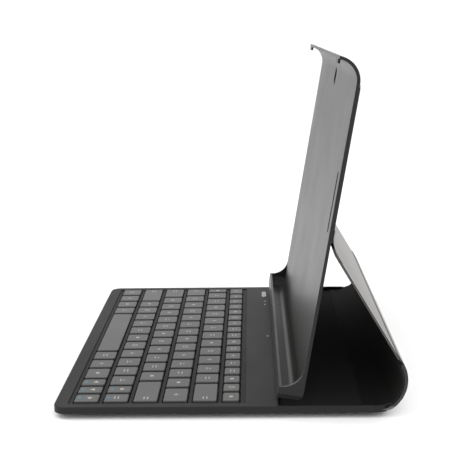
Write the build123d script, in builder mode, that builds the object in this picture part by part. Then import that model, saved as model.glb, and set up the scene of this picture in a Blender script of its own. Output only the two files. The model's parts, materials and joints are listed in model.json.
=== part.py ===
"""Folding keyboard case for a ten-inch tablet.

A thin keyboard carries a soft spine and a stiff back panel on its rear edge. The panel is creased
to the middle of a tablet tray, whose foot stands on a magnetic rail just behind the keys, so the
panel props the tray up like an easel.

The frame has +X to the typist's right, +Y away from the typist and +Z up. The origin is at the
bottom centre of the standing case.
"""

import os
from math import atan2, cos, hypot, radians, sin, tan

from build123d import *

os.makedirs("parts", exist_ok=True)

# ---------------------------------------------------------------- driving dimensions, millimetres
base_width = 248.0
base_depth = 182.4
base_corner = 7.0
foot_height = 0.8
tuck = 9.0  # the underside is this much smaller all round
tuck_top = 3.2
seam_height = 4.0  # where the lower shell meets the parts above it
deck_top = 7.0
deck_depth = 122.5  # from the front edge back to the step
skin = 1.2  # thickness of the moulded covers
wall = 1.6
platform_top = 4.5
rim_width = 1.4

key_pitch = 16.3
field_units = 14.27  # width of the key field in key pitches
first_row_inset = 10.5  # from the front edge to the first row of caps
cap_gap = 3.0
cap_depth = 13.1
short_cap_depth = 9.1  # the back row
cap_top = 7.5
cap_height = 3.0
cap_roof = 1.0
cap_wall = 1.1
grid_top = 6.5
slot_margin = 0.7  # the grid's slots are this much larger than the caps, all round
recess_side = 2.2
recess_front = 3.0
recess_back = 3.4

tray_width = 248.0
tray_length = 185.7
tray_depth = 13.6
tray_wall = 1.8
tray_top_wall = 1.6
tray_lean = 9.76  # degrees back from upright
tray_foot_at = (39.0, 7.0)  # (y, z) of the tray's lower back corner
lip_height = 9.0
lip_wall = 1.4
curl_radius = 12.5
curl_reach = 12.6  # how far forward the curled top edge comes
tray_corner = 9.0
camera_height = 170.6  # along the tray
camera_radius = 5.5

spine_bulge = 8.6  # how far the soft spine stands out behind the base
spine_radius = 18.75
spine_thickness = 1.4
spine_centre_z = 20.81
spine_start, spine_end, spine_crease = -50.0, 29.2, 32.92  # degrees round the spine's arc
panel_skin_thickness = 0.5
panel_board_thickness = 0.6
panel_lining_thickness = 0.2

# ---------------------------------------------------------------- places worked out from them
base_front = -(base_depth + spine_bulge) / 2
base_back = base_front + base_depth
base_middle = (base_front + base_back) / 2
deck_back = base_front + deck_depth
floor_top = foot_height + skin
inside_floor = floor_top + 0.1
deck_under = deck_top - skin

field_width = field_units * key_pitch
field_front = base_front + first_row_inset
field_back = field_front + 5 * key_pitch + short_cap_depth
recess_width = field_width + 2 * recess_side
recess_depth = field_back - field_front + recess_front + recess_back
recess_middle = (field_front - recess_front + field_back + recess_back) / 2

lean = radians(tray_lean)
spine_centre = (base_back + spine_bulge - spine_radius, spine_centre_z)
panel_crease_at = (
    spine_centre[0] + spine_radius * cos(radians(spine_crease)),
    spine_centre[1] + spine_radius * sin(radians(spine_crease)),
)
# The tray's crease lies just behind its back, near the middle of its height.
crease_behind, crease_up = 1.4, 88.2
tray_crease_at = (
    tray_foot_at[0] + crease_behind * cos(lean) + crease_up * sin(lean),
    tray_foot_at[1] - crease_behind * sin(lean) + crease_up * cos(lean),
)
panel_run = (tray_crease_at[0] - panel_crease_at[0], tray_crease_at[1] - panel_crease_at[1])
panel_length = hypot(*panel_run)
panel_angle = atan2(panel_run[1], panel_run[0])

# Across the tray: x is the depth in front of its back, y the height above its foot.
tray_side = Plane(origin=(0, *tray_foot_at), x_dir=(0, -cos(lean), sin(lean)), z_dir=(-1, 0, 0))
# Facing the tray: x is the case's own X, y the height above its foot.
tray_face = Plane(origin=(0, *tray_foot_at), x_dir=(1, 0, 0), z_dir=(0, -cos(lean), sin(lean)))
# Across the panel: x runs from the lower crease to the upper one, y points out of the case.
panel_side = Plane(
    origin=(0, *panel_crease_at), x_dir=(0, cos(panel_angle), sin(panel_angle)), z_dir=(-1, 0, 0)
)


def finish(builder, name):
    """Label a finished piece and write it as its own STEP file."""
    piece = builder.part
    piece.label = name
    export_step(piece, f"parts/{name}.step")


def base_outline(inset=0.0):
    """The base seen from above, made smaller by inset all round."""
    with Locations((0, base_middle)):
        RectangleRounded(base_width - 2 * inset, base_depth - 2 * inset, max(base_corner - inset, 1.0))


def span(x0, y0, x1, y1):
    """A rectangle between two opposite corners."""
    with Locations(((x0 + x1) / 2, (y0 + y1) / 2)):
        Rectangle(abs(x1 - x0), abs(y1 - y0))


def round_corner(sketch, x, y, radius):
    """Round the corner of a sketch that lies nearest to (x, y)."""
    fillet(sketch.vertices().sort_by_distance((x, y, 0))[0], radius)


# ---------------------------------------------------------------- base: lower shell, feet, screws
screw_spacing = (220.0, 120.0)
screw_radius, screw_recess, screw_clearance = 2.0, 0.6, 0.1
foot_spacing = (180.0, 140.0)
foot_length, foot_width = 26.0, 7.0
floor_corner = 3.0
# The inside widens above the tucked-in floor: the bottom of each step, and how far in its walls lie.
inside_steps = ((floor_top, 6.5), (3.0, 2.6))
with BuildPart() as bottom_cover:
    with BuildSketch(Plane.XY.offset(foot_height)):
        with Locations((0, base_middle)):
            RectangleRounded(base_width - 2 * tuck, base_depth - 2 * tuck, floor_corner)
    with BuildSketch(Plane.XY.offset(tuck_top)):
        base_outline()
    loft(ruled=True)
    with BuildSketch(Plane.XY.offset(tuck_top)):
        base_outline()
    extrude(amount=seam_height - tuck_top)
    for bottom, inset in inside_steps:
        with BuildSketch(Plane.XY.offset(bottom)):
            base_outline(inset)
        extrude(amount=deck_top, mode=Mode.SUBTRACT)
    with BuildSketch(Plane.XY.offset(foot_height)):
        with Locations((0, base_middle)):
            with GridLocations(*screw_spacing, 2, 2):
                Circle(screw_radius + screw_clearance)
    extrude(amount=screw_recess, mode=Mode.SUBTRACT)
finish(bottom_cover, "bottom_cover")

with BuildPart() as case_screws:
    with BuildSketch(Plane.XY.offset(foot_height + screw_clearance)):
        with Locations((0, base_middle)):
            with GridLocations(*screw_spacing, 2, 2):
                Circle(screw_radius)
    extrude(amount=screw_recess - screw_clearance)
finish(case_screws, "case_screws")

with BuildPart() as rubber_feet:
    with BuildSketch():
        with Locations((0, base_middle)):
            with GridLocations(*foot_spacing, 2, 2):
                SlotOverall(foot_length, foot_width)
    extrude(amount=foot_height)
finish(rubber_feet, "rubber_feet")

# ---------------------------------------------------------------- base: deck, platform and rim
button_at = (-102.0, deck_back - 5.0)
button_length, button_width = 14.0, 3.5
lamp_places = [(-83.7, deck_back - 4.6), (-75.2, deck_back - 4.6), (0.0, deck_back - 4.0)]
lamp_radius = 0.75
button_clearance, lamp_clearance, socket_clearance = 0.25, 0.1, 0.2
deck_chamfer, rim_chamfer = 0.4, 0.3
socket_y = deck_back - 9.0
socket_width, socket_height, socket_depth = 7.4, 1.6, 6.4
socket_z = seam_height + 0.85

with BuildPart() as front_deck:
    with BuildSketch(Plane.XY.offset(seam_height)):
        base_outline()
        with Locations((0, deck_back + base_depth / 2)):
            Rectangle(base_width + 2, base_depth, mode=Mode.SUBTRACT)
    extrude(amount=deck_top - seam_height)
    chamfer(front_deck.faces().sort_by(Axis.Z)[-1].edges(), length=deck_chamfer)
    inner_front, inner_back = base_front + wall, deck_back - skin
    with BuildSketch(Plane.XY.offset(seam_height)):
        with Locations((0, (inner_front + inner_back) / 2)):
            RectangleRounded(base_width - 2 * wall, inner_back - inner_front, base_corner - wall)
    extrude(amount=deck_under - seam_height, mode=Mode.SUBTRACT)
    with BuildSketch(Plane.XY.offset(seam_height)):
        with Locations((0, recess_middle)):
            Rectangle(recess_width, recess_depth)
        with Locations(button_at):
            SlotOverall(button_length + 2 * button_clearance, button_width + 2 * button_clearance)
        with Locations(lamp_places):
            Circle(lamp_radius + lamp_clearance)
    extrude(amount=deck_top, mode=Mode.SUBTRACT)
    with Locations((-base_width / 2, socket_y, socket_z)):
        Box(2 * wall + 2, socket_width + 2 * socket_clearance, socket_height + 0.1, mode=Mode.SUBTRACT)
finish(front_deck, "front_deck")

platform_front = deck_back + 0.05
with BuildPart() as rear_platform:
    with BuildSketch(Plane.XY.offset(seam_height)):
        base_outline(rim_width + 0.1)
        with Locations((0, platform_front - base_depth / 2)):
            Rectangle(base_width + 2, base_depth, mode=Mode.SUBTRACT)
    extrude(amount=platform_top - seam_height)
finish(rear_platform, "rear_platform")

with BuildPart() as rear_rim:
    with BuildSketch(Plane.XY.offset(seam_height)):
        base_outline()
        with Locations((0, base_middle)):
            RectangleRounded(
                base_width - 2 * rim_width,
                base_depth - 2 * rim_width,
                base_corner - rim_width,
                mode=Mode.SUBTRACT,
            )
        with Locations((0, platform_front - base_depth / 2)):
            Rectangle(base_width + 2, base_depth, mode=Mode.SUBTRACT)
        # The two side strips butt against the rear one.
        with Locations((0, base_back - base_corner - 1.0)):
            Rectangle(base_width + 2, 0.1, mode=Mode.SUBTRACT)
    extrude(amount=deck_top - seam_height)
    chamfer(rear_rim.faces().filter_by(Plane.XY).group_by(Axis.Z)[-1].edges(), length=rim_chamfer)
finish(rear_rim, "rear_rim")

# The rail's top slopes with the tray's foot and stays clear of it as the tray swings.
rail_front, rail_back, rail_gap = deck_back + 1.2, deck_back + 5.0, 0.6
rail_length = 200.0


def rail_top(y):
    """Height of the rail's sloping top."""
    return tray_foot_at[1] + (tray_foot_at[0] - y) * tan(lean) - rail_gap / cos(lean)


with BuildPart() as magnet_rail:
    with BuildSketch(Plane.YZ):
        Polygon(
            (rail_front, platform_top),
            (rail_back, platform_top),
            (rail_back, rail_top(rail_back)),
            (rail_front, rail_top(rail_front)),
            align=None,
        )
    extrude(amount=rail_length / 2, both=True)
finish(magnet_rail, "magnet_rail")

strip_length, strip_thickness, strip_height, strip_middle = 232.0, 0.3, 2.4, 5.3
with BuildPart() as hinge_strip:
    with Locations((0, base_back + strip_thickness / 2, strip_middle)):
        Box(strip_length, strip_thickness, strip_height)
finish(hinge_strip, "hinge_strip")

# ---------------------------------------------------------------- base: inside
plate_top = inside_floor + 0.6
membrane_top = plate_top + 0.2
sheet_top = membrane_top + 0.2
dome_top = 5.1
sheet_depth, sheet_corner = field_back - field_front + 2, 2.0


def inner_sheet(name, bottom, thickness):
    """A flat sheet under the whole key field."""
    with BuildPart() as sheet:
        with BuildSketch(Plane.XY.offset(bottom)):
            with Locations((0, (field_front + field_back) / 2)):
                RectangleRounded(field_width, sheet_depth, sheet_corner)
        extrude(amount=thickness)
    finish(sheet, name)


inner_sheet("keyboard_plate", inside_floor, plate_top - inside_floor)
inner_sheet("membrane", plate_top, membrane_top - plate_top)

cell_length, cell_width, cell_thickness = 50.0, 13.0, 3.1
cell_places = [(-33.0, deck_back - 9.0), (40.0, deck_back - 9.0)]
with BuildPart() as battery_cells:
    with BuildSketch(Plane.XY.offset(inside_floor)):
        with Locations(cell_places):
            RectangleRounded(cell_length, cell_width, 1.0)
    extrude(amount=cell_thickness)
finish(battery_cells, "battery_cells")

circuit_at, circuit_length, circuit_width, circuit_thickness = (-90.0, deck_back - 8.8), 44.0, 13.4, 0.8
board_top = inside_floor + circuit_thickness
chip_places = [(-84.0, deck_back - 12.5), (-74.0, deck_back - 12.0)]
chip_length, chip_width, chip_height = 7.0, 5.0, 1.2
with BuildPart() as circuit_board:
    with BuildSketch(Plane.XY.offset(inside_floor)):
        with Locations(circuit_at):
            Rectangle(circuit_length, circuit_width)
    extrude(amount=circuit_thickness)
    with BuildSketch(Plane.XY.offset(board_top)):
        with Locations(chip_places):
            Rectangle(chip_length, chip_width)
    extrude(amount=chip_height)
finish(circuit_board, "circuit_board")

button_bottom = 4.9
switch_length, switch_width, switch_height = 4.5, 3.4, 1.2
plunger_radius, plunger_height = 1.0, 0.4
with BuildPart() as tact_switch:
    with BuildSketch(Plane.XY.offset(board_top)):
        with Locations(button_at):
            Rectangle(switch_length, switch_width)
    extrude(amount=switch_height)
    with BuildSketch(Plane.XY.offset(board_top + switch_height)):
        with Locations(button_at):
            Circle(plunger_radius)
    extrude(amount=plunger_height)
finish(tact_switch, "tact_switch")

lamp_bottom, lamp_top = board_top + 0.05, deck_top - 0.1
with BuildPart() as status_leds:
    with BuildSketch(Plane.XY.offset(lamp_bottom)):
        with Locations(lamp_places):
            Circle(lamp_radius)
    extrude(amount=lamp_top - lamp_bottom)
finish(status_leds, "status_leds")

socket_outer = -base_width / 2 + 0.2
mouth_depth, mouth_width, mouth_height = 4.0, socket_width - 0.9, socket_height - 0.6
with BuildPart() as charge_socket:
    with Locations((socket_outer + socket_depth / 2, socket_y, socket_z)):
        Box(socket_depth, socket_width, socket_height)
    with Locations((socket_outer + mouth_depth / 2, socket_y, socket_z)):
        Box(mouth_depth, mouth_width, mouth_height, mode=Mode.SUBTRACT)
finish(charge_socket, "charge_socket")

magnet_y, magnet_radius, magnet_thickness = deck_back + 30.0, 5.0, 1.8
with BuildPart() as base_magnets:
    with BuildSketch(Plane.XY.offset(inside_floor)):
        with Locations((0, magnet_y)):
            with GridLocations(60.0, 1.0, 4, 1):
                Circle(magnet_radius)
    extrude(amount=magnet_thickness)
finish(base_magnets, "base_magnets")

flange, flange_thickness, button_proud, button_chamfer = 1.2, 0.7, 0.4, 0.3
with BuildPart() as power_button:
    with BuildSketch(Plane.XY.offset(button_bottom)):
        with Locations(button_at):
            SlotOverall(button_length + 2 * flange, button_width + 2 * flange)
    extrude(amount=flange_thickness)
    with BuildSketch(Plane.XY.offset(button_bottom)):
        with Locations(button_at):
            SlotOverall(button_length, button_width)
    extrude(amount=deck_top + button_proud - button_bottom)
    chamfer(power_button.faces().sort_by(Axis.Z)[-1].edges(), length=button_chamfer)
finish(power_button, "power_button")

# ---------------------------------------------------------------- keys
# Each row from the left: (name of the node, width in pitches, how many equal keys it holds).
key_rows = [
    [
        ("control_key", 0.95, 1),
        ("accented_key", 0.98, 1),
        ("option_key", 0.98, 1),
        ("command_key", 0.99, 1),
        ("space_bar", 5.10, 1),
        ("right_command_key", 0.96, 1),
        ("right_option_key", 0.96, 1),
        ("menu_key", 1.12, 1),
        ("left_arrow_key", 0.75, 1),
        ("down_arrow_key", 0.74, 1),
        ("right_arrow_key", 0.74, 1),
    ],
    [
        ("left_shift_key", 1.93, 1),
        ("lower_letter_keys", 0.98, 10),
        ("right_shift_key", 1.02, 1),
        ("up_arrow_key", 0.76, 1),
        ("corner_key", 0.76, 1),
    ],
    [("caps_lock_key", 1.32, 1), ("home_letter_keys", 1.0, 11), ("enter_key", 1.95, 1)],
    [("tab_key", 1.10, 1), ("upper_letter_keys", 11.9 / 12, 12), ("backslash_key", 1.27, 1)],
    [("narrow_key", 0.57, 1), ("number_keys", 1.0, 12), ("backspace_key", 1.70, 1)],
    [
        ("escape_key", field_units / 17, 1),
        ("media_keys", field_units / 17, 15),
        ("lock_key", field_units / 17, 1),
    ],
]


def row_front(row):
    """Front edge of a row's caps; row 0 is the one next to the typist."""
    return field_front + row * key_pitch


def row_depth(row):
    """Depth of a row's caps from front to back."""
    return short_cap_depth if row == len(key_rows) - 1 else cap_depth


cap_corner, cap_chamfer = 1.0, 0.4
cap_centres = []
for row, keys in enumerate(key_rows):
    middle = row_front(row) + row_depth(row) / 2
    boundary = -field_width / 2
    for index, (name, units, count) in enumerate(keys):
        # The row's two outer caps reach the edge of the field.
        gap_before = cap_gap / 2 if index else 0.0
        gap_after = cap_gap / 2 if index < len(keys) - 1 else 0.0
        width = units * key_pitch
        length = width - gap_before - gap_after
        centres = [(boundary + i * width + gap_before + length / 2, middle) for i in range(count)]
        with BuildPart() as caps:
            with BuildSketch(Plane.XY.offset(cap_top - cap_height)):
                with Locations(centres):
                    RectangleRounded(length, row_depth(row), cap_corner)
            extrude(amount=cap_height)
            chamfer(caps.faces().filter_by(Plane.XY).group_by(Axis.Z)[-1].edges(), length=cap_chamfer)
            with BuildSketch(Plane.XY.offset(cap_top - cap_height)):
                with Locations(centres):
                    Rectangle(length - 2 * cap_wall, row_depth(row) - 2 * cap_wall)
            extrude(amount=cap_height - cap_roof, mode=Mode.SUBTRACT)
        finish(caps, name)
        cap_centres.extend(centres)
        boundary += width * count

dome_radius = 1.8
with BuildPart() as dome_sheet:
    with BuildSketch(Plane.XY.offset(membrane_top)):
        with Locations((0, (field_front + field_back) / 2)):
            RectangleRounded(field_width, sheet_depth, sheet_corner)
    extrude(amount=sheet_top - membrane_top)
    with BuildSketch(Plane.XY.offset(sheet_top)):
        with Locations(cap_centres):
            Circle(dome_radius)
    extrude(amount=dome_top - sheet_top)
finish(dome_sheet, "dome_sheet")

grid_clearance = 0.1
with BuildPart() as key_grid:
    with BuildSketch(Plane.XY.offset(grid_top - skin)):
        with Locations((0, recess_middle)):
            Rectangle(recess_width - 2 * grid_clearance, recess_depth - 2 * grid_clearance)
        for row in range(len(key_rows)):
            with Locations((0, row_front(row) + row_depth(row) / 2)):
                Rectangle(
                    field_width + 2 * slot_margin, row_depth(row) + 2 * slot_margin, mode=Mode.SUBTRACT
                )
    extrude(amount=skin)
finish(key_grid, "key_grid")

# ---------------------------------------------------------------- spine and back panel
with BuildPart() as spine:
    with BuildSketch(Plane.YZ):
        with BuildLine():
            arc_size = spine_end - spine_start
            outer = CenterArc(spine_centre, spine_radius, spine_start, arc_size)
            inner = CenterArc(spine_centre, spine_radius - spine_thickness, spine_start, arc_size)
            Line(outer @ 0, inner @ 0)
            Line(outer @ 1, inner @ 1)
        make_face()
    extrude(amount=tray_width / 2, both=True)
finish(spine, "spine")


def panel_layer(name, start, end, outer_face, thickness, width):
    """One flat layer of the back panel, from start to end along it."""
    with BuildPart() as layer:
        with BuildSketch(panel_side):
            span(start, outer_face - thickness, end, outer_face)
        extrude(amount=width / 2, both=True)
    finish(layer, name)


board_face = -panel_skin_thickness
lining_face = board_face - panel_board_thickness
board_start, board_end = 2.0, panel_length - 4.0  # the stiff part stops short of both creases
board_width, lining_width = tray_width - 3.0, tray_width - 1.0
panel_layer("panel_skin", 1.3, panel_length - 0.8, 0.0, panel_skin_thickness, tray_width)
panel_layer("panel_board", board_start, board_end, board_face, panel_board_thickness, board_width)
panel_layer("panel_lining", board_start, board_end, lining_face, panel_lining_thickness, lining_width)

# ---------------------------------------------------------------- tray
lip_inside = tray_depth - lip_wall
pocket_top = 30.0
sweep_radius = tray_depth - tray_wall  # the end walls sweep up from the lip into the back
hook_length, hook_thickness, hook_width = 2.3, 1.3, 12.0
hook_inset = 6.0  # in from the tray's two ends
slot_at = (113.0, 110.4)  # a blind slot over the side buttons of the tablet
slot_length, slot_width = 33.0, 4.0
foot_radius, lip_radius, pocket_radius = 6.0, 2.0, 4.0  # along the tray's lower edges


def upright_outline(outline, width, low, high, radius):
    """The tray seen from the front, with rounded lower corners."""
    span(-width / 2, low, width / 2, high)
    fillet(outline.vertices().group_by(Axis.Y)[0], radius)


with BuildPart() as tray_pocket:
    with BuildSketch(tray_side) as section:
        span(tray_wall, tray_wall, lip_inside, pocket_top)
        round_corner(section, tray_wall, tray_wall, pocket_radius)
    extrude(amount=tray_width / 2, both=True)
    pocket_width, pocket_corner = tray_width - 2 * tray_wall, tray_corner - tray_wall
    with BuildSketch(tray_face.offset(-1.0)) as outline:
        upright_outline(outline, pocket_width, tray_wall, pocket_top + 1, pocket_corner)
    extrude(amount=2 * tray_depth, mode=Mode.INTERSECT)

with BuildPart() as tray_shell:
    with BuildSketch(tray_side) as section:
        span(0, 0, tray_depth, tray_length)
        round_corner(section, 0, 0, foot_radius)
        round_corner(section, tray_depth, 0, lip_radius)
        round_corner(section, 0, tray_length, curl_radius)
    extrude(amount=tray_width / 2, both=True)
    with BuildSketch(tray_face.offset(-1.0)) as outline:
        upright_outline(outline, tray_width, 0, tray_length + 1, tray_corner)
    extrude(amount=2 * tray_depth, mode=Mode.INTERSECT)
    add(tray_pocket.part, mode=Mode.SUBTRACT)
    with BuildSketch(tray_side) as section:
        span(tray_wall, lip_height, 2 * tray_depth, tray_length - tray_top_wall)
        round_corner(section, tray_wall, lip_height, sweep_radius)
        round_corner(section, tray_wall, tray_length - tray_top_wall, curl_radius - tray_top_wall)
    extrude(amount=tray_width, both=True, mode=Mode.SUBTRACT)
    with BuildSketch(tray_side):
        span(curl_reach, tray_length / 2, 2 * tray_depth, tray_length + 1)
    extrude(amount=tray_width, both=True, mode=Mode.SUBTRACT)
    for side in (-1, 1):
        with BuildSketch(tray_side.offset(side * ((tray_width - hook_width) / 2 - hook_inset))):
            hook_top = tray_length - tray_top_wall
            span(curl_reach - hook_thickness, hook_top - hook_length, curl_reach, hook_top + 0.5)
        extrude(amount=hook_width / 2, both=True)
    with BuildSketch(tray_face.offset(-1.0)):
        with Locations((0, camera_height)):
            Circle(camera_radius)
        with Locations(slot_at):
            SlotOverall(slot_length, slot_width, rotation=90)
    extrude(amount=tray_wall + 2.0, mode=Mode.SUBTRACT)
finish(tray_shell, "tray_shell")

cover_thickness, cover_inset, cover_corner = 0.8, 2.0, 3.0
cover_low, cover_high = crease_up + 1.5, tray_length - curl_radius - 0.5
with BuildPart() as tray_cover:
    with BuildSketch(tray_face.offset(-cover_thickness)):
        with Locations((0, (cover_low + cover_high) / 2)):
            RectangleRounded(tray_width - 2 * cover_inset, cover_high - cover_low, cover_corner)
        with Locations((0, camera_height)):
            Circle(camera_radius, mode=Mode.SUBTRACT)
    extrude(amount=cover_thickness)
finish(tray_cover, "tray_cover")
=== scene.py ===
"""Folding keyboard case for a ten-inch tablet, standing open: finishes, creased skins and legends."""

import json
from math import atan2, cos, pi, radians, sin

import bpy
from mathutils import Matrix, Vector


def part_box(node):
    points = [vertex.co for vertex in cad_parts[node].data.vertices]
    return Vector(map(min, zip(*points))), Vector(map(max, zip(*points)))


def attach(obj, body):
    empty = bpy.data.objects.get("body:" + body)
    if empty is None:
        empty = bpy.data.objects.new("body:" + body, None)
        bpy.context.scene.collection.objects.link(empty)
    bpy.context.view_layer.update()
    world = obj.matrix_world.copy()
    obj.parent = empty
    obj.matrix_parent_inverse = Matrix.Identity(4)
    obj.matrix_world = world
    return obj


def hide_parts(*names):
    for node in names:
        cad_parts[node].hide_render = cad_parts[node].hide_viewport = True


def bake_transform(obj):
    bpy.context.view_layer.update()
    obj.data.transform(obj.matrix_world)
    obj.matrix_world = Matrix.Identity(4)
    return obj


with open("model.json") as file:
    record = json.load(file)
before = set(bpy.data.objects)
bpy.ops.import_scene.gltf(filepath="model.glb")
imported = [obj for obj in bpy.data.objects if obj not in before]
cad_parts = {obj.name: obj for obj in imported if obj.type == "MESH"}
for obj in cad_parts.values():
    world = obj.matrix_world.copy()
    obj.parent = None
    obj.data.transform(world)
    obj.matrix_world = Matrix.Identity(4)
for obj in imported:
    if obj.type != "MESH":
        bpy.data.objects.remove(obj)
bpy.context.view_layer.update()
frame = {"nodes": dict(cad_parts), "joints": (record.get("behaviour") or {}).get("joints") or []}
nodes = frame["nodes"]
mm = 0.001

# ---------------------------------------------------------------- camera
# A long lens to the typist's right and a little above the keys, looking along the rows of keys
# and turned slightly about its own axis.
azimuth, elevation, roll = radians(91.27), radians(11.74), radians(-0.81)
back = Vector((sin(azimuth) * cos(elevation), -cos(azimuth) * cos(elevation), sin(elevation)))
level = (-back).cross(Vector((0, 0, 1))).normalized()
upright = level.cross(-back)
across = level * cos(roll) + upright * sin(roll)
upward = upright * cos(roll) - level * sin(roll)
camera_at = Vector((637.5, 13.4, 210.7)) * mm
bpy.ops.object.camera_add()
camera = bpy.context.object
camera.data.lens = 79.28
camera.data.sensor_width = 36.0
camera.matrix_world = Matrix.Translation(camera_at) @ Matrix((across, upward, back)).transposed().to_4x4()
bpy.context.scene.camera = camera

# ---------------------------------------------------------------- studio
# A white table top that runs out of sight, a pale surround and three large soft lamps. Every
# material in the file is one surface shader with its pattern read in the piece's own coordinates.
def shader_of(material):
    """The material's own surface shader."""
    return material.node_tree.nodes["Principled BSDF"]


def link(material, source, target):
    """Joins one node's output to another's input."""
    material.node_tree.links.new(source, target)


def new_material(name, colour, roughness):
    """A material with one surface shader, and the coordinates that its pattern is read in."""
    material = bpy.data.materials.new(name)
    material.use_nodes = True
    shader_of(material).inputs["Base Color"].default_value = (*colour, 1)
    shader_of(material).inputs["Roughness"].default_value = roughness
    return material, material.node_tree.nodes.new("ShaderNodeTexCoord").outputs["Object"]


bpy.ops.mesh.primitive_plane_add(size=12)
table_top = bpy.context.object
table_top.name = "table_top"
white, _ = new_material("white_table", (0.98, 0.98, 0.98), 0.9)
table_top.data.materials.append(white)
world = bpy.data.worlds.new("pale_surround")
world.use_nodes = True
world.node_tree.nodes["Background"].inputs["Color"].default_value = (1, 1, 1, 1)
world.node_tree.nodes["Background"].inputs["Strength"].default_value = 1.05
bpy.context.scene.world = world
bpy.context.scene.view_settings.view_transform = "Standard"
lamps = (  # place, watts and width of each
    ((0.2, -0.9, 1.1), 5, 1.0),
    ((0.3, 1.1, 1.0), 5, 1.0),
    ((1.2, 0.1, 1.0), 3, 0.8),
)
lit_point = Vector((0, 0, 0.06))
for place, watts, size in lamps:
    bpy.ops.object.light_add(type="AREA", location=place)
    lamp = bpy.context.object
    lamp.data.energy = watts
    lamp.data.size = size
    lamp.rotation_euler = (lit_point - lamp.location).to_track_quat("-Z", "Y").to_euler()


# ---------------------------------------------------------------- base shells and deck
# Two moulded shells with the rim strips round the rear platform. The plastic is spark-eroded: a
# fine even grain, and a slightly uneven gloss where it has been handled.
def moulded_plastic(name, colour, roughness, grain=2600.0, depth=0.12):
    """Textured plastic: fine grain in the relief, broad soft variation in the gloss."""
    material, place = new_material(name, colour, roughness)
    tree = material.node_tree.nodes
    fine = tree.new("ShaderNodeTexNoise")
    fine.inputs["Scale"].default_value = grain
    fine.inputs["Detail"].default_value = 3
    bump = tree.new("ShaderNodeBump")
    bump.inputs["Strength"].default_value = depth
    bump.inputs["Distance"].default_value = 0.1 * mm
    broad = tree.new("ShaderNodeTexNoise")
    broad.inputs["Scale"].default_value = 28
    gloss = tree.new("ShaderNodeMapRange")
    gloss.inputs["To Min"].default_value = roughness - 0.05
    gloss.inputs["To Max"].default_value = roughness + 0.05
    link(material, place, fine.inputs["Vector"])
    link(material, place, broad.inputs["Vector"])
    link(material, fine.outputs["Fac"], bump.inputs["Height"])
    link(material, bump.outputs["Normal"], shader_of(material).inputs["Normal"])
    link(material, broad.outputs["Fac"], gloss.inputs["Value"])
    link(material, gloss.outputs["Result"], shader_of(material).inputs["Roughness"])
    return material


def finish_nodes(material, *names):
    """Gives carried-over parts their finish."""
    for name in names:
        for place in nodes[name].material_slots:
            place.material = material


shell_plastic = moulded_plastic("shell_plastic", (0.010, 0.0097, 0.0095), 0.55)
shader_of(shell_plastic).inputs["Specular IOR Level"].default_value = 0.25
finish_nodes(shell_plastic, "bottom_cover", "front_deck", "rear_rim")
grid_plastic = moulded_plastic("grid_plastic", (0.004, 0.004, 0.004), 0.6)
shader_of(grid_plastic).inputs["Specular IOR Level"].default_value = 0.25
finish_nodes(grid_plastic, "key_grid")
finish_nodes(moulded_plastic("foot_rubber", (0.03, 0.03, 0.03), 0.8, 900, 0.3), "rubber_feet", "dome_sheet")


# ---------------------------------------------------------------- metal and inner parts
# The rail that holds the tray's foot, the screws and the parts under the keys: sheet and bar
# metal, brushed along X. The rail is screwed down, and the rest lies inside the base.
def brushed_metal(name, colour, roughness):
    """Metal with long fine scratches along X."""
    material, place = new_material(name, colour, roughness)
    shader_of(material).inputs["Metallic"].default_value = 1.0
    tree = material.node_tree.nodes
    stretch = tree.new("ShaderNodeMapping")
    stretch.inputs["Scale"].default_value = (20, 4000, 4000)
    scratches = tree.new("ShaderNodeTexNoise")
    bump = tree.new("ShaderNodeBump")
    bump.inputs["Strength"].default_value = 0.15
    bump.inputs["Distance"].default_value = 0.05 * mm
    link(material, place, stretch.inputs["Vector"])
    link(material, stretch.outputs["Vector"], scratches.inputs["Vector"])
    link(material, scratches.outputs["Fac"], bump.inputs["Height"])
    link(material, bump.outputs["Normal"], shader_of(material).inputs["Normal"])
    return material


finish_nodes(brushed_metal("dark_rail", (0.05, 0.05, 0.05), 0.45), "magnet_rail")
finish_nodes(
    brushed_metal("bright_steel", (0.55, 0.55, 0.56), 0.35),
    "case_screws", "keyboard_plate", "charge_socket", "tact_switch", "base_magnets", "battery_cells",
)
finish_nodes(moulded_plastic("circuit_green", (0.02, 0.10, 0.05), 0.4), "circuit_board")
finish_nodes(moulded_plastic("clear_lamp", (0.45, 0.47, 0.50), 0.2), "status_leds", "membrane")


# ---------------------------------------------------------------- linings
# Short-napped black lining on the platform behind the keys and on the inside of the panel,
# glued down flat.
def napped_lining(name, colour):
    """Cloth with a short nap: matt, with a soft sheen and a woven relief."""
    material, place = new_material(name, colour, 0.95)
    shader_of(material).inputs["Sheen Weight"].default_value = 0.06
    shader_of(material).inputs["Specular IOR Level"].default_value = 0.15
    tree = material.node_tree.nodes
    nap = tree.new("ShaderNodeTexNoise")
    nap.inputs["Scale"].default_value = 1800
    bump = tree.new("ShaderNodeBump")
    bump.inputs["Strength"].default_value = 0.5
    bump.inputs["Distance"].default_value = 0.2 * mm
    link(material, place, nap.inputs["Vector"])
    link(material, nap.outputs["Fac"], bump.inputs["Height"])
    link(material, bump.outputs["Normal"], shader_of(material).inputs["Normal"])
    return material


black_lining = napped_lining("black_lining", (0.004, 0.0036, 0.0033))
finish_nodes(black_lining, "rear_platform", "panel_lining")


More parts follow.
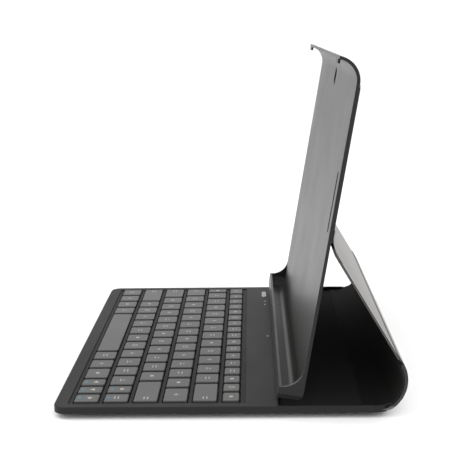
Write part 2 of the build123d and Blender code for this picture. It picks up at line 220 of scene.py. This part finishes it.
# ---------------------------------------------------------------- leatherette
# The outer skin of the spine, panel and tray back: embossed pebbles about a millimetre across, with
# painted shade darkening the creases between them.
def leatherette(name, colour, pebble=1100.0):
    """Embossed leatherette."""
    material, place = new_material(name, colour, 0.5)
    tree = material.node_tree.nodes
    pebbles = tree.new("ShaderNodeTexVoronoi")
    pebbles.feature = "SMOOTH_F1"
    pebbles.inputs["Scale"].default_value = pebble
    # Painted shade: the colour falls to 0.7 of itself in the low creases between the pebbles.
    crease_shade = tree.new("ShaderNodeMix")
    crease_shade.data_type = "RGBA"
    crease_shade.inputs["A"].default_value = (*colour, 1)
    crease_shade.inputs["B"].default_value = (*[0.7 * c for c in colour], 1)
    bump = tree.new("ShaderNodeBump")
    bump.invert = True
    bump.inputs["Strength"].default_value = 0.35
    bump.inputs["Distance"].default_value = 0.15 * mm
    link(material, place, pebbles.inputs["Vector"])
    link(material, pebbles.outputs["Distance"], crease_shade.inputs["Factor"])
    link(material, crease_shade.outputs["Result"], shader_of(material).inputs["Base Color"])
    link(material, pebbles.outputs["Distance"], bump.inputs["Height"])
    link(material, bump.outputs["Normal"], shader_of(material).inputs["Normal"])
    return material


def darken_ends_painted_shade(material, end_colour):
    """Faces that look along the hinge lines take a darker colour: painted shade, chosen by facing
    direction.
    """
    tree = material.node_tree.nodes
    facing = tree.new("ShaderNodeSeparateXYZ")
    size = tree.new("ShaderNodeMath")
    size.operation = "ABSOLUTE"
    is_end = tree.new("ShaderNodeMath")
    is_end.operation = "GREATER_THAN"
    is_end.inputs[1].default_value = 0.8
    choice = tree.new("ShaderNodeMix")
    choice.data_type = "RGBA"
    base_colour = shader_of(material).inputs["Base Color"]
    choice.inputs["A"].default_value = base_colour.default_value
    choice.inputs["B"].default_value = (*end_colour, 1)
    if base_colour.is_linked:
        link(material, base_colour.links[0].from_socket, choice.inputs["A"])
    link(material, tree["Texture Coordinate"].outputs["Normal"], facing.inputs["Vector"])
    link(material, facing.outputs["X"], size.inputs[0])
    link(material, size.outputs["Value"], is_end.inputs[0])
    link(material, is_end.outputs["Value"], choice.inputs["Factor"])
    link(material, choice.outputs["Result"], base_colour)


# The outer grey is partly the leatherette's own colour and partly painted sheen: a lighter tone that stands
# for the white surround reflected at a grazing angle.
grey_with_painted_sheen = (0.26, 0.253, 0.246)
edge_black = (0.012, 0.012, 0.012)
outer_leather = leatherette("outer_leatherette", grey_with_painted_sheen)
cut_edge = leatherette("cut_edge_leatherette", edge_black)
cover_leather = leatherette("cover_leatherette", grey_with_painted_sheen)
# On the cover the darkened ends are partly its dark cut edge and partly painted shade.
darken_ends_painted_shade(cover_leather, edge_black)
finish_nodes(outer_leather, "hinge_strip")
finish_nodes(cover_leather, "tray_cover")
finish_nodes(cut_edge, "spine")
finish_nodes(moulded_plastic("panel_core", (0.30, 0.28, 0.26), 0.8, 700, 0.4), "panel_board")

# ---------------------------------------------------------------- skins and creases
# Leatherette over the panel and over each of the three creases, bonded at both edges, so that the
# skin runs unbroken from the base to the tray. Its cut edges are dark. The crease strips are curved.
joints = {joint["name"]: joint for joint in frame["joints"]}
lower_crease, upper_crease = (Vector(joints[n]["pos_m"]) for n in ("panel_hinge", "tray_hinge"))
panel_direction = (upper_crease - lower_crease).normalized()
panel_outward = Vector((0, panel_direction.z, -panel_direction.y))
skin_thickness = 0.4 * mm
skin_lift = 0.25 * mm  # from the surface below to the middle of the skin
skin_half_width = 123.6 * mm
spine_outside, spine_thickness = 18.75 * mm, 1.4 * mm
spine_centre = Vector((0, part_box("spine")[1].y - spine_outside, 20.81 * mm))
spine_radius = spine_outside + skin_lift
tray_lean = radians(9.76)
tray_crease_behind, tray_cover_thickness = 1.4 * mm, 0.8 * mm
case_half_width = 124 * mm
tray_up = Vector((0, sin(tray_lean), cos(tray_lean)))
tray_behind = Vector((0, cos(tray_lean), -sin(tray_lean)))


def spine_point(degrees_round):
    """A point on the outside of the spine."""
    turn = radians(degrees_round)
    return spine_centre + spine_radius * Vector((0, cos(turn), sin(turn)))


def panel_point(along, lift=skin_lift):
    """A point on the outside of the panel, a distance up from its lower crease."""
    return lower_crease + panel_direction * along + panel_outward * lift


def crease_skin(name, line, half_width=skin_half_width, thick=skin_thickness, face=outer_leather, rim=1):
    """A strip across the case that follows a line, made by extruding its far edge step by step."""
    first, second = line[0], line[1]
    run = second - first
    bpy.ops.object.select_all(action="DESELECT")
    bpy.ops.mesh.primitive_plane_add(
        size=1, location=(first + second) / 2, rotation=(atan2(run.z, run.y), 0, 0)
    )
    skin = bpy.context.object
    skin.name = name
    skin.data.materials.append(face)
    skin.data.materials.append(cut_edge)
    skin.scale = (2 * half_width, run.length, 1)
    bpy.ops.object.transform_apply(location=True, rotation=True, scale=True)
    for here, ahead in zip(line[1:], line[2:]):
        for part in (skin.data.vertices, skin.data.edges, skin.data.polygons):
            for element in part:
                element.select = False
        for vertex in skin.data.vertices:
            vertex.select = (Vector((0, vertex.co.y, vertex.co.z)) - here).length < 0.01 * mm
        for edge in skin.data.edges:
            edge.select = all(skin.data.vertices[v].select for v in edge.vertices)
        bpy.ops.object.mode_set(mode="EDIT")
        bpy.ops.mesh.select_mode(type="EDGE")
        bpy.ops.mesh.extrude_edges_move(TRANSFORM_OT_translate={"value": ahead - here})
        bpy.ops.object.mode_set(mode="OBJECT")
    thickness = skin.modifiers.new("thickness", "SOLIDIFY")
    thickness.thickness = thick
    thickness.offset = 0
    thickness.material_offset_rim = rim
    rounding = skin.modifiers.new("rounded_edges", "BEVEL")
    rounding.width = 0.12 * mm
    rounding.segments = 2
    for modifier in ("thickness", "rounded_edges"):
        bpy.ops.object.modifier_apply(modifier=modifier)
    bpy.ops.object.mode_set(mode="EDIT")
    bpy.ops.mesh.select_all(action="SELECT")
    bpy.ops.mesh.normals_make_consistent(inside=False)
    bpy.ops.object.mode_set(mode="OBJECT")
    bpy.ops.object.shade_smooth_by_angle(angle=radians(40))
    return skin


# The lower strip starts between the platform and the rim, and closes the base's rounded corners.
tucked_in = [Vector((0, y, z)) * mm for y, z in ((79.0, 4.35), (83.0, 4.35), (86.0, 4.5))]
spine_line = tucked_in + [spine_point(-56 + 5 * step) for step in range(18)]
spine_skin = crease_skin("spine_skin", spine_line)
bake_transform(spine_skin)

middle_line = [spine_point(29.5 + step) for step in range(3)]
middle_line += [panel_point(along * mm) for along in (0.4, 1.2, 2.2, 3.4, 5.0)]
middle_skin = crease_skin("middle_crease_skin", middle_line)
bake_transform(middle_skin)

panel_length = (upper_crease - lower_crease).length
panel_skin_thickness = 0.5 * mm
panel_line = []
for step in range(7):
    along = 1.3 * mm + (panel_length - 2.1 * mm) * step / 6
    panel_line.append(panel_point(along, -panel_skin_thickness / 2))
panel_sheet = crease_skin("panel_sheet", panel_line, case_half_width, panel_skin_thickness)
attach(panel_sheet, "stand_panel")
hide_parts("panel_skin")

cover_line = tray_crease_behind - tray_cover_thickness - skin_lift
tray_start = upper_crease + tray_up * 5 * mm - tray_behind * cover_line
bend_from, bend_to = panel_point(panel_length - 6 * mm), tray_start
bend_steps = 8
upper_line = [panel_point(panel_length - 10 * mm)]
corner = upper_crease + panel_outward * skin_lift
for step in range(bend_steps + 1):
    share = step / bend_steps
    rounded = bend_from * (1 - share) ** 2 + corner * 2 * share * (1 - share)
    upper_line.append(rounded + bend_to * share ** 2)
upper_line.append(tray_start + tray_up * 4 * mm)
upper_skin = crease_skin("upper_crease_skin", upper_line, rim=0)
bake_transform(upper_skin)

# ---------------------------------------------------------------- inner lining
# The black lining runs on from the platform, over the low rear rim and up the inside of the spine,
# so that neither the rim nor the crease shows from the keys.
lining_gap, lining_thickness, lining_half_width = 0.3 * mm, 0.4 * mm, 122.4 * mm
inner_radius = spine_radius - skin_lift - spine_thickness - lining_gap
over_the_rim = ((73, 4.8), (78, 4.9), (81.5, 5.4), (84, 6.6), (86, 7.4))
lining_line = [Vector((0, y, z)) * mm for y, z in over_the_rim]
for step in range(15):
    turn = radians(-48 + 5 * step)
    lining_line.append(spine_centre + inner_radius * Vector((0, cos(turn), sin(turn))))
spine_lining = crease_skin(
    "spine_lining", lining_line, lining_half_width, lining_thickness, black_lining
)
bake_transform(spine_lining)

# ---------------------------------------------------------------- tray
# One satin plastic moulding: back plate, lip, curled top edge and two hooks. The upper half of
# its back is glued to the leatherette.
tray_plastic = moulded_plastic("tray_plastic", (0.030, 0.0292, 0.0285), 0.36, 3000, 0.08)
shader_of(tray_plastic).inputs["Specular IOR Level"].default_value = 0.25
# Painted shade: the end faces of the tray moulding are painted darker than the rest of the same plastic.
darken_ends_painted_shade(tray_plastic, (0.010, 0.010, 0.010))
finish_nodes(tray_plastic, "tray_shell")

# ---------------------------------------------------------------- keys and power button
# Separate moulded caps in black plastic, a little smoother on top from use, each held by the grid.
# The power button is a lighter grey.
key_names = [j["child"].removesuffix("_body") for j in frame["joints"] if j["type"] == "slide"]
finish_nodes(moulded_plastic("key_plastic", (0.050, 0.049, 0.048), 0.38, 3200, 0.06), *key_names)
finish_nodes(moulded_plastic("button_plastic", (0.30, 0.30, 0.30), 0.4), "power_button")

# ---------------------------------------------------------------- key legends
# Pad-printed marks a few hundredths of a millimetre thick. They are plain strokes and arrowheads,
# not letters: white on most keys, and blue for the second function of a few.
caps_in_group = {
    "lower_letter_keys": 10,
    "home_letter_keys": 11,
    "upper_letter_keys": 12,
    "number_keys": 12,
    "media_keys": 15,
}
arrow_turns = {
    "up_arrow_key": 0,
    "left_arrow_key": pi / 2,
    "down_arrow_key": pi,
    "right_arrow_key": -pi / 2,
}
blue_marked = ("accented_key", "corner_key", *arrow_turns)
wide_keys = ("left_shift_key", "caps_lock_key", "tab_key", "enter_key", "backspace_key")
ink_thickness = 0.04 * mm
stroke, stroke_length = 0.55 * mm, 3.4 * mm
ring_radius, ring_line = 1.5 * mm, 0.52 * mm
arrow_size, blue_size = 2.6 * mm, 1.4 * mm
cap_gap = 3.0 * mm
end_inset = 4.5 * mm  # from the outer end of a wide key to its legend
ink_white = moulded_plastic("white_ink", (0.42, 0.42, 0.41), 0.6)
ink_blue = moulded_plastic("blue_ink", (0.02, 0.26, 0.45), 0.6)


def printed_mark(x, y, top, width, depth, sides=4, turn=0.0):
    """One flat printed stroke, or an arrowhead where it has three sides."""
    bpy.ops.object.select_all(action="DESELECT")
    bpy.ops.mesh.primitive_cylinder_add(
        vertices=sides, radius=0.5 ** 0.5, depth=1, rotation=(0, 0, pi / 4 if sides == 4 else turn)
    )
    mark = bpy.context.object
    bpy.ops.object.transform_apply(location=False, rotation=True, scale=False)
    mark.scale = (width, depth, ink_thickness)
    mark.location = (x, y, top + ink_thickness / 2)
    bpy.ops.object.transform_apply(location=True, rotation=True, scale=True)
    return mark


def print_on(key, marks, suffix, ink):
    """Joins a key's marks into one printed piece that travels with it."""
    bpy.ops.object.select_all(action="DESELECT")
    for mark in marks:
        mark.select_set(True)
    bpy.context.view_layer.objects.active = marks[0]
    if len(marks) > 1:
        bpy.ops.object.join()
    marks[0].name = f"{key}_{suffix}"
    marks[0].data.materials.append(ink)
    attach(marks[0], f"{key}_body")


def printed_ring(x, y, top):
    """One flat printed ring."""
    bpy.ops.object.select_all(action="DESELECT")
    bpy.ops.mesh.primitive_torus_add(
        major_segments=14, minor_segments=4, major_radius=ring_radius, minor_radius=ring_line / 2
    )
    ring = bpy.context.object
    ring.scale = (1, 1, ink_thickness / ring_line)
    ring.location = (x, y, top + ink_thickness / 2)
    bpy.ops.object.transform_apply(location=True, rotation=True, scale=True)
    return ring


def plain_legend(kind, x, y, top):
    """A ring, two bars, a plus, a square or a bar with a dot, taken in turn along a row."""
    if kind == 0:
        return [printed_ring(x, y, top)]
    if kind == 1:
        return [printed_mark(x, y + side * mm, top, stroke_length, stroke) for side in (-1, 1)]
    if kind == 2:
        arm = 3.2 * mm
        return [printed_mark(x, y, top, arm, stroke), printed_mark(x, y, top, stroke, arm)]
    if kind == 3:
        return [printed_mark(x, y, top, 2.0 * mm, 2.0 * mm)]
    return [
        printed_mark(x, y - 1.0 * mm, top, stroke_length, stroke),
        printed_mark(x, y + 0.9 * mm, top, 1.0 * mm, 1.0 * mm),
    ]


for row_place, key in enumerate(key_names):
    if key in ("space_bar", "power_button"):
        continue
    low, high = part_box(key)
    count = caps_in_group.get(key, 1)
    pitch = (high.x - low.x + cap_gap) / count
    middle_x, middle_y = (low.x + high.x) / 2, (low.y + high.y) / 2
    if key in arrow_turns:
        arrow_y, turn = middle_y + 1.5 * mm, arrow_turns[key]
        marks = [printed_mark(middle_x, arrow_y, high.z, arrow_size, arrow_size, 3, turn)]
    elif key in wide_keys:
        outer_end = low.x + end_inset if key in wide_keys[:3] else high.x - end_inset
        marks = plain_legend(1, outer_end, middle_y, high.z)
    else:
        marks = []
        for index in range(count):
            x = middle_x + (index - (count - 1) / 2) * pitch
            marks += plain_legend((2 * index + row_place) % 5, x, middle_y, high.z)
    print_on(key, marks, "legend", ink_white)
    if key in blue_marked:
        blue = printed_mark(middle_x, low.y + 2.4 * mm, high.z, blue_size, blue_size)
        print_on(key, [blue], "second_legend", ink_blue)
